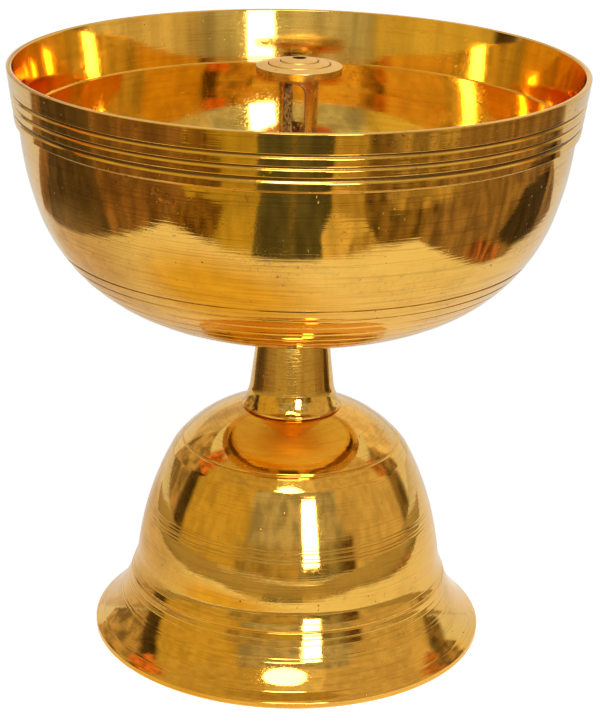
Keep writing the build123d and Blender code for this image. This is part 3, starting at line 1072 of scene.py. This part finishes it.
def lamp_material(name):
    """One of the lamp's materials, made on first use."""
    found = bpy.data.materials.get(name)
    if found:
        return found
    for group, build in SHARED_EFFECTS.items():
        if group not in bpy.data.node_groups:
            build()
    s = bpy.context.scene.butter_lamp.finish
    if name in BRASS_FINISHES:
        return turned_brass(name, s, **BRASS_FINISHES[name])
    if name == "cast_skin":
        # The cast skin's dark colour is painted shade at the slot's top
        slot_top = post_high.z - bpy.context.scene.butter_lamp.wick.slot_head
        return cast_skin(name, tuple(s.cast), tuple(s.dark_tone_and_shade), slot_top)
    if name == "soot":
        return lamp_soot_and_shade(name, tuple(s.dark_tone_and_shade))
    if name == "plain_steel":
        return plain_steel(name, tuple(s.steel), tuple(s.rust))
    if name == "oiled_fibre":
        return oiled_fibre(name, tuple(s.fibre))
    raise KeyError(f"there is no lamp material named {name}")


# Operators: one for each piece or group of like pieces, and one for the stage

class LAMP_OT_build_foot(bpy.types.Operator):
    """Turn the bell foot"""

    bl_idname = "butter_lamp.build_foot"
    bl_label = "Bell Foot"

    def execute(self, context):
        points, cuts = foot_profile(context.scene.butter_lamp.foot)
        piece = lathe("bell_foot_turned", *turned_profile(points, cuts), segments=320, swell=0.00002, seed=3)
        finishes = [lamp_material(name) for name in ("polished_brass", "rough_brass")]
        stand_for(piece, "bell_foot", "lamp", "turned_brass", *finishes)

        def hollow(middle, normal):
            inward = (middle * normal)[:, :2].sum(axis=1) < 0
            return (inward | (normal[:, 2] < -0.5)) & (middle[:, 2] > 0.0015)

        face_kinds(piece, hollow)
        return {"FINISHED"}


class LAMP_OT_build_neck(bpy.types.Operator):
    """Turn the neck"""

    bl_idname = "butter_lamp.build_neck"
    bl_label = "Neck"

    def execute(self, context):
        points = neck_profile(context.scene.butter_lamp.neck)
        piece = lathe("neck_turned", *turned_profile(points, []), segments=160, swell=0.00001, seed=5)
        stand_for(piece, "neck", "lamp", "turned_brass", lamp_material("polished_brass"))
        return {"FINISHED"}


class LAMP_OT_build_bowl(bpy.types.Operator):
    """Turn the bowl with its collar, ledge and grooves"""

    bl_idname = "butter_lamp.build_bowl"
    bl_label = "Bowl"

    def execute(self, context):
        points, cuts = bowl_profile(context.scene.butter_lamp.bowl)
        piece = lathe("bowl_turned", *turned_profile(points, cuts), segments=384, swell=0.00003, seed=11)
        stand_for(piece, "bowl", "lamp", "turned_brass", lamp_material("bowl_brass"), lamp_material("inner_brass"))

        def inside(middle, normal):
            inward = (middle * normal)[:, :2].sum(axis=1) < 0
            height = middle[:, 2]
            over_base, under_rim = height > bowl_low.z + 0.002, height < bowl_high.z - 0.0004
            return (inward | (normal[:, 2] > 0.5)) & over_base & under_rim

        face_kinds(piece, inside)
        return {"FINISHED"}


class LAMP_OT_build_wick_holder(bpy.types.Operator):
    """Make the slotted post and the coned disc with its wick hole"""

    bl_idname = "butter_lamp.build_wick_holder"
    bl_label = "Wick Holder"

    def execute(self, context):
        s = context.scene.butter_lamp.wick
        post = place("wick_post_slotted", slotted_post(s))
        finishes = [lamp_material(name) for name in ("post_brass", "cast_skin", "polished_brass", "soot")]
        stand_for(post, "wick_post", "wick_holder", "cast_brass", *finishes)
        bore_post(post, s)
        points, cuts = disc_profile(s)
        profile = turned_profile(points, cuts, edge=0.0002, coarse=0.0008)
        disc = lathe("wick_disc_turned", *profile, segments=160, swell=0.000008, seed=13)
        raise_burr(disc, s, turn=math.radians(107))
        # The disc's edge takes the paler tint, a painted reflection
        finishes = [lamp_material(name) for name in ("disc_brass", "edge_brass", "soot")]
        stand_for(disc, "wick_disc", "wick_holder", "satin_brass", *finishes)

        def edge_and_hole(middle, normal):
            radius = np.linalg.norm(middle[:, :2], axis=1)
            upright = (np.abs(normal[:, 2]) < 0.7) & (radius > disc_high.x - 0.0006)
            hole = (radius < s.hole_radius + 0.0001) & (middle[:, 2] < disc_high.z - 0.0004)
            return upright + 2 * hole

        face_kinds(disc, edge_and_hole)
        return {"FINISHED"}


class LAMP_OT_build_fixings(bpy.types.Operator):
    """Make the socket, gasket, threaded rod, washer and nut"""

    bl_idname = "butter_lamp.build_fixings"
    bl_label = "Fixings"

    def execute(self, context):
        s = context.scene.butter_lamp.fixings
        socket = lathe("wick_socket_turned", *turned_profile(socket_profile(s), []), segments=128)
        stand_for(socket, "wick_socket", "lamp", "turned_brass", lamp_material("polished_brass"))
        for name, slot, material in (("bowl_gasket", "fibre", "oiled_fibre"), ("foot_washer", "steel", "plain_steel")):
            profile = turned_profile(ring_profile(name), [], edge=0.00035)
            ring = lathe(name + "_ring", *profile, segments=128, swell=0.00003, seed=len(name))
            stand_for(ring, name, "lamp", slot, lamp_material(material))
        stand_for(threaded_rod(s), "tie_rod", "lamp", "steel", lamp_material("plain_steel"))
        stand_for(hex_nut(s), "foot_nut", "lamp", "steel", lamp_material("plain_steel"))
        return {"FINISHED"}


# Stage: directions are (degrees right of the camera, degrees up) seen from the lamp

FLOOR_SHEEN = (0.48, 0.40, 0.25, 1.0)
CARD_LIFT = 0.0004
LAMP_MIDDLE = 0.12
MIRROR_BOUNCES = 10


def toward(azimuth, elevation, distance=1.0):
    """A point that far from the lamp, in a direction given from the camera's own."""
    turn = bpy.context.scene.butter_lamp.stage.azimuth + math.radians(azimuth)
    rise = math.radians(elevation)
    flat = math.cos(rise)
    return Vector((math.sin(turn) * flat, -math.cos(turn) * flat, math.sin(rise))) * distance


def glow(name, tint, mottle, grain, soft=False, streaky=False, feather=None):
    """A glowing card's material, lit in patches, or for the floor in streaks out from the lamp, paler from low down.

    A soft one fades out to its rim, and feather is the share of a card's width and height that fades at its edges.
    """
    material, tree = new_material(name)
    where = own_place(tree)
    if streaky or soft:
        reach = node(tree, "VectorMath", {0: where}, operation="LENGTH").outputs["Value"]
    if streaky:
        spoke = node(tree, "SeparateXYZ", {0: node(tree, "VectorMath", {0: where}, operation="NORMALIZE").outputs[0]})
        along_spoke = maths(tree, "MULTIPLY", reach, 0.4)
        values = {"X": spoke.outputs["X"], "Y": spoke.outputs["Y"], "Z": along_spoke}
        where = node(tree, "CombineXYZ", values).outputs[0]
    patches = noise(tree, where, grain, 4.0, 0.65)
    dim = [channel * (1 - mottle) for channel in tint]
    bright = [channel * (1 + mottle) for channel in tint]
    shade = blend(tree, span(tree, patches, 0.36, 0.64), (*dim, 1.0), (*bright, 1.0))
    if streaky:
        low = span(tree, node(tree, "LayerWeight").outputs["Facing"], 0.80, 0.89, 0.0, 0.85)
        shade = blend(tree, low, shade, FLOOR_SHEEN)
    shine = node(tree, "Emission", {"Color": shade, "Strength": 1.0}).outputs[0]
    shown = None
    if soft:
        shown = span(tree, reach, 0.3, 1.0, 1.0, 0.0)
    if feather:
        across = node(tree, "SeparateXYZ", {0: node(tree, "TexCoord").outputs["UV"]})
        shift = maths(tree, "MULTIPLY_ADD", patches, 1.0, -0.5)
        ragged = maths(tree, "MULTIPLY_ADD", shift, feather[0], across.outputs["X"])
        sides = maths(tree, "MINIMUM", ragged, maths(tree, "SUBTRACT", 1.0, ragged))
        over = maths(tree, "SUBTRACT", 1.0, across.outputs["Y"])
        shown = maths(tree, "MULTIPLY", span(tree, sides, 0.0, feather[0]), span(tree, over, 0.0, feather[1]))
    if shown is not None:
        clear = node(tree, "BsdfTransparent").outputs[0]
        shine = node(tree, "MixShader", {0: shown, 1: clear, 2: shine}).outputs[0]
    node(tree, "OutputMaterial", {"Surface": shine})
    return material


def reflector(name, points, faces, material):
    """A card that only the metal sees, out of the camera's sight."""
    mesh = bpy.data.meshes.new(name)
    mesh.from_pydata([tuple(point) for point in points], [], faces)
    card = place(name, mesh)
    mesh.materials.append(material)
    card.visible_camera = False
    card.visible_diffuse = False
    card.visible_shadow = False
    card.visible_volume_scatter = False
    return card


def wall_card(name, left, right, low, high, tint, mottle=0.15, grain=4.0, radius=1.5, fade=0.0):
    """A curved card round the lamp between two directions and two heights, fading at its edges, all in degrees."""
    turns = np.linspace(left, right, max(2, round(abs(right - left) / 4) + 1))
    points = []
    for turn in turns:
        for rise in (low, high):
            point = toward(turn, 0.0, radius)
            point.z = LAMP_MIDDLE + radius * math.tan(math.radians(rise))
            points.append(point)
    faces = [(2 * i, 2 * i + 1, 2 * i + 3, 2 * i + 2) for i in range(len(turns) - 1)]
    feather = (fade / abs(right - left), fade / (high - low)) if fade else None
    card = reflector(name, points, faces, glow(name, tint, mottle, grain, feather=feather))
    places = [(vertex // 2 / (len(turns) - 1), vertex % 2) for face in faces for vertex in face]
    card.data.uv_layers.new(name="card").data.foreach_set("uv", np.array(places, np.float32).ravel())


def floor_card(name, level, corners, tint, mottle=0.2, grain=12.0):
    """A flat card on the floor, its corners given as metres to the right of the lamp and behind it, from the camera."""
    side, away = toward(90, 0), toward(180, 0)
    points = [side * right + away * behind + Vector((0, 0, CARD_LIFT * level)) for right, behind in corners]
    reflector(name, points, [tuple(range(len(corners)))], glow(name, tint, mottle, grain, streaky=True))


def seen_light(tree, metal):
    """1 for a ray from the camera, the given share for one by way of metal or glass, and otherwise 0."""
    path = node(tree, "LightPath")
    bounced = maths(tree, "MAXIMUM", path.outputs["Is Glossy Ray"], path.outputs["Is Transmission Ray"])
    return maths(tree, "MAXIMUM", path.outputs["Is Camera Ray"], maths(tree, "MULTIPLY", bounced, metal))


def floor_spot(name, level, right, behind, width, depth, tint, mottle=0.1):
    """A soft round card on the floor, its middle and half sizes in metres to the right of the lamp and behind it."""
    corners, grain = 32, 4.0
    turns = np.arange(corners) * 2 * math.pi / corners
    points = [(math.cos(turn), math.sin(turn), 0.0) for turn in turns]
    spot = reflector(name, points, [tuple(range(corners))], glow(name, tint, mottle, grain, soft=True))
    side, away = toward(90, 0), toward(180, 0)
    spot.location = side * right + away * behind + Vector((0, 0, CARD_LIFT * level))
    spot.rotation_euler.z = math.atan2(side.y, side.x)
    spot.scale = (width, depth, 1.0)


def soft_lamp(name, spot, size, power, tint, shape="RECTANGLE", height=None, seen=True):
    """An area light that faces the lamp's middle; the metal shows it if it is seen."""
    data = bpy.data.lights.new(name, "AREA")
    data.shape = shape
    data.size = size
    if height:
        data.size_y = height
    data.energy = power
    data.color = tint
    lamp = place(name, data)
    lamp.location = spot
    lamp.rotation_mode = "QUATERNION"
    lamp.rotation_quaternion = (spot - Vector((0, 0, LAMP_MIDDLE))).to_track_quat("Z", "Y")
    lamp.visible_glossy = seen
    lamp.visible_camera = False


class LAMP_OT_set_stage(bpy.types.Operator):
    """Set the floor, light, reflector cards and camera"""

    bl_idname = "butter_lamp.set_stage"
    bl_label = "Stage"

    def execute(self, context):
        s = context.scene.butter_lamp.stage
        self.lay_floor(s)
        self.light_world(context)
        self.hang_wall_cards()
        self.lay_floor_cards()
        self.hang_lamps()
        self.aim_camera(context, s)
        context.scene.view_settings.view_transform = "Standard"
        context.scene.cycles.glossy_bounces = MIRROR_BOUNCES
        return {"FINISHED"}

    def lay_floor(self, s):
        size, drop = 6.0, 0.0002
        corners = np.array(((-size, -size, 0), (size, -size, 0), (size, size, 0), (-size, size, 0)))
        floor = place("floor", grid_mesh("floor", corners, np.array(((0, 1, 2, 3),))))
        floor.location.z = -drop
        material, tree = new_material("pale_floor")
        dull = node(tree, "BsdfDiffuse", {"Color": (*s.floor, 1.0)})
        lift = maths(tree, "MULTIPLY", seen_light(tree, 0.52), 0.76)
        shine = node(tree, "Emission", {"Color": (1, 1, 1, 1), "Strength": lift})
        both = node(tree, "AddShader", {0: dull.outputs[0], 1: shine.outputs[0]})
        node(tree, "OutputMaterial", {"Surface": both.outputs[0]})
        floor.data.materials.append(material)

    def light_world(self, context):
        world = bpy.data.worlds.new("studio")
        world.use_nodes = True
        tree = world.node_tree
        tree.nodes.clear()
        strength = maths(tree, "MAXIMUM", seen_light(tree, 0.82), 0.25)
        white = node(tree, "Background", {"Color": (1, 1, 1, 1), "Strength": strength})
        node(tree, "OutputWorld", {"Surface": white.outputs[0]})
        context.scene.world = world

    def hang_wall_cards(self):
        wall_card("gold_left", -99, -28, -4, 33, (0.61, 0.45, 0.125))
        wall_card("gold_left_high", -99, -16, 33, 62, (0.57, 0.43, 0.16))
        wall_card("brown_middle_low", -44, 12, -4, 11, (0.42, 0.32, 0.14), 0.3, radius=1.45, fade=5.0)
        wall_card("grey_middle", -36, 48, -4, 37, (0.47, 0.44, 0.40), 0.3, radius=1.47, fade=6.0)
        wall_card("grey_middle_low", 7, 46, -4, 11, (0.30, 0.26, 0.18), 0.4, radius=1.44, fade=4.0)
        wall_card("gold_middle_high", -16, 30, 33, 62, (0.78, 0.66, 0.44))
        wall_card("gold_right", 40, 107, -4, 33, (0.65, 0.52, 0.33))
        wall_card("brown_right_low", 38, 55, -4, 11, (0.16, 0.10, 0.05), 0.5, grain=9.0, radius=1.43, fade=5.0)
        wall_card("gold_right_high", 30, 107, 33, 62, (0.63, 0.50, 0.31))
        wall_card("flag_left", -108, -89, -4, 34, (0.07, 0.047, 0.027), 0.4, radius=1.46, fade=6.0)
        wall_card("flag_far_left", -138, -99, -4, 36, (0.44, 0.33, 0.20), 0.5)
        wall_card("rust_left", -117, -91, 27, 50, (0.62, 0.21, 0.06), 0.5, grain=7.0, radius=1.42, fade=7.0)
        wall_card("flag_right", 101, 121, -4, 21, (0.20, 0.14, 0.07), 0.5, radius=1.46, fade=6.0)
        wall_card("flag_far_right", 103, 129, 12, 39, (0.34, 0.24, 0.14), 0.5, radius=1.47, fade=6.0)
        wall_card("rust_right", 98, 114, 21, 40, (0.58, 0.25, 0.09), 0.4, grain=7.0, radius=1.42, fade=6.0)
        wall_card("warm_back_left", 180, 222, 14, 36, (0.66, 0.56, 0.44), 0.15)
        wall_card("warm_back_right", 107, 180, 14, 36, (0.88, 0.75, 0.56), 0.15)
        wall_card("warm_ceiling_front", -110, 110, 62, 84, (0.46, 0.33, 0.12), 0.2)

    def lay_floor_cards(self):
        brown, dark = (0.25, 0.14, 0.065), (0.10, 0.07, 0.043)
        floor_card("boards_left", 1, (
            (-2.2, -1.6), (-0.30, -0.36), (-0.265, -0.215), (-0.285, -0.05), (-0.295, 0.30), (-2.2, 0.7),
        ), brown, 0.45)
        floor_card("boards_right", 1, (
            (2.2, 0.7), (0.32, 0.30), (0.285, 0.10), (0.262, 0.06), (0.24, 0.0), (0.225, -0.20), (2.2, -0.9),
        ), (0.29, 0.19, 0.10), 0.4, 18.0)
        floor_card("dark_left", 2, ((-0.9, -0.08), (-0.287, -0.06), (-0.293, 0.22), (-0.9, 0.3)), dark, 0.35)
        floor_card("amber_front", 1, (
            (-0.265, -0.215), (-0.20, -0.234), (-0.07, -0.234), (-0.137, -0.60), (-0.22, -1.1), (-1.434, -1.1),
            (-0.30, -0.36),
        ), (0.52, 0.39, 0.075))
        floor_card("dark_front_left", 2, (
            (-0.275, -0.222), (-0.15, -0.236), (-0.165, -0.30), (-0.20, -0.40), (-0.33, -0.44), (-0.30, -0.33),
        ), (0.19, 0.105, 0.028), 0.55, 28.0)
        floor_card("olive_front", 2, (
            (-0.07, -0.232), (0.046, -0.238), (0.055, -0.32), (0.10, -0.42), (0.14, -0.60), (-0.137, -0.60),
        ), (0.11, 0.108, 0.07), 0.3)
        floor_card("olive_streak", 3, (
            (-0.010, -0.236), (0.0, -0.236), (0.004, -0.60), (-0.020, -0.60),
        ), (0.18, 0.15, 0.075), 0.4, 30.0)
        floor_card("olive_far", 2, (
            (-0.137, -0.60), (0.14, -0.60), (0.24, -1.1), (-0.22, -1.1),
        ), (0.22, 0.205, 0.13), 0.25)
        floor_card("pale_front", 2, (
            (0.046, -0.238), (0.15, -0.238), (0.165, -0.34), (0.10, -0.42), (0.055, -0.32),
        ), (0.76, 0.60, 0.27))
        floor_card("amber_far", 1, (
            (0.10, -0.42), (0.165, -0.34), (0.50, -1.1), (0.24, -1.1), (0.14, -0.60),
        ), (0.50, 0.37, 0.12))
        floor_card("brown_front", 1, (
            (0.15, -0.238), (0.225, -0.20), (2.2, -0.9), (2.2, -1.4), (0.50, -1.1), (0.165, -0.34),
        ), (0.20, 0.13, 0.05), 0.6, 18.0)
        floor_card("gold_notch", 3, (
            (0.085, -0.236), (0.155, -0.24), (0.165, -0.30), (0.115, -0.29),
        ), (0.48, 0.37, 0.15), 0.3, 30.0)
        floor_card("tan_right", 2, (
            (0.25, -0.36), (0.44, -0.22), (0.95, -0.40), (0.95, -0.95), (0.40, -0.62),
        ), (0.45, 0.33, 0.14), 0.5, 18.0)
        floor_card("dark_right", 3, (
            (0.285, 0.06), (0.31, 0.0), (0.50, 0.10), (0.55, 0.32), (0.30, 0.17),
        ), (0.06, 0.045, 0.03), 0.4)
        floor_card("rust_spot", 3, (
            (0.245, -0.07), (0.30, -0.06), (0.29, 0.03), (0.25, 0.03),
        ), (0.40, 0.16, 0.065), 0.7, 40.0)
        floor_spot("amber_glow", 1, -0.09, -0.12, 0.17, 0.13, (0.80, 0.57, 0.12))
        floor_spot("tan_left", 2, -0.22, 0.10, 0.20, 0.22, (0.66, 0.56, 0.46))

    def hang_lamps(self):
        soft_lamp("overhead", Vector((0.0, 0.0, 2.2)), size=1.8, power=3.0, tint=(1.0, 1.0, 1.0), seen=False)
        soft_lamp(
            "tall_softbox", toward(17.6, 18.5, 1.42), size=0.28, height=0.66, power=7.4, tint=(1.0, 0.97, 0.92)
        )
        soft_lamp(
            "wide_softbox", toward(0, 46.5, 1.42), size=0.53, height=0.46, power=5.2, tint=(1.0, 0.95, 0.85),
            shape="ELLIPSE",
        )

    def aim_camera(self, context, s):
        right = toward(90, 0)
        back = toward(0, math.degrees(s.elevation))
        up = back.cross(right)
        across = math.cos(s.roll) * right + math.sin(s.roll) * up
        over = math.cos(s.roll) * up - math.sin(s.roll) * right
        data = bpy.data.cameras.new("camera")
        data.lens = s.lens
        data.sensor_width = 36.0
        data.clip_start, data.clip_end = 0.01, 50.0
        camera = place("camera", data)
        spot = right * s.look_right + Vector((0, 0, s.look_height)) + back * s.distance
        axes = Matrix((across, over, back)).transposed().to_4x4()
        camera.matrix_world = Matrix.Translation(spot) @ axes
        context.scene.camera = camera


class LAMP_PT_panel(bpy.types.Panel):
    """Butter lamp's pieces and settings."""

    bl_idname = "LAMP_PT_panel"
    bl_label = "Butter Lamp"
    bl_space_type = "VIEW_3D"
    bl_region_type = "UI"
    bl_category = "Butter Lamp"

    def draw(self, context):
        lamp = context.scene.butter_lamp
        for operator in OPERATORS:
            self.layout.operator(operator.bl_idname)
        for part in ("foot", "neck", "bowl", "wick", "fixings", "finish", "stage"):
            box = self.layout.box()
            box.label(text=part.title())
            settings = getattr(lamp, part)
            for key in settings.__annotations__:
                box.prop(settings, key)


OPERATORS = (
    LAMP_OT_build_foot,
    LAMP_OT_build_neck,
    LAMP_OT_build_bowl,
    LAMP_OT_build_wick_holder,
    LAMP_OT_build_fixings,
    LAMP_OT_set_stage,
)
CLASSES = (
    LampFootSettings,
    LampNeckSettings,
    LampBowlSettings,
    LampWickSettings,
    LampFixingsSettings,
    LampFinishSettings,
    LampStageSettings,
    ButterLampSettings,
    *OPERATORS,
    LAMP_PT_panel,
)


def register():
    for made in CLASSES:
        bpy.utils.register_class(made)
    bpy.types.Scene.butter_lamp = bpy.props.PointerProperty(type=ButterLampSettings)


def unregister():
    del bpy.types.Scene.butter_lamp
    for made in reversed(CLASSES):
        bpy.utils.unregister_class(made)


def main():
    """Register the add-on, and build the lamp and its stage."""
    register()
    bpy.ops.butter_lamp.build_foot()
    bpy.ops.butter_lamp.build_neck()
    bpy.ops.butter_lamp.build_bowl()
    bpy.ops.butter_lamp.build_wick_holder()
    bpy.ops.butter_lamp.build_fixings()
    bpy.ops.butter_lamp.set_stage()


if __name__ == "__main__":
    main()
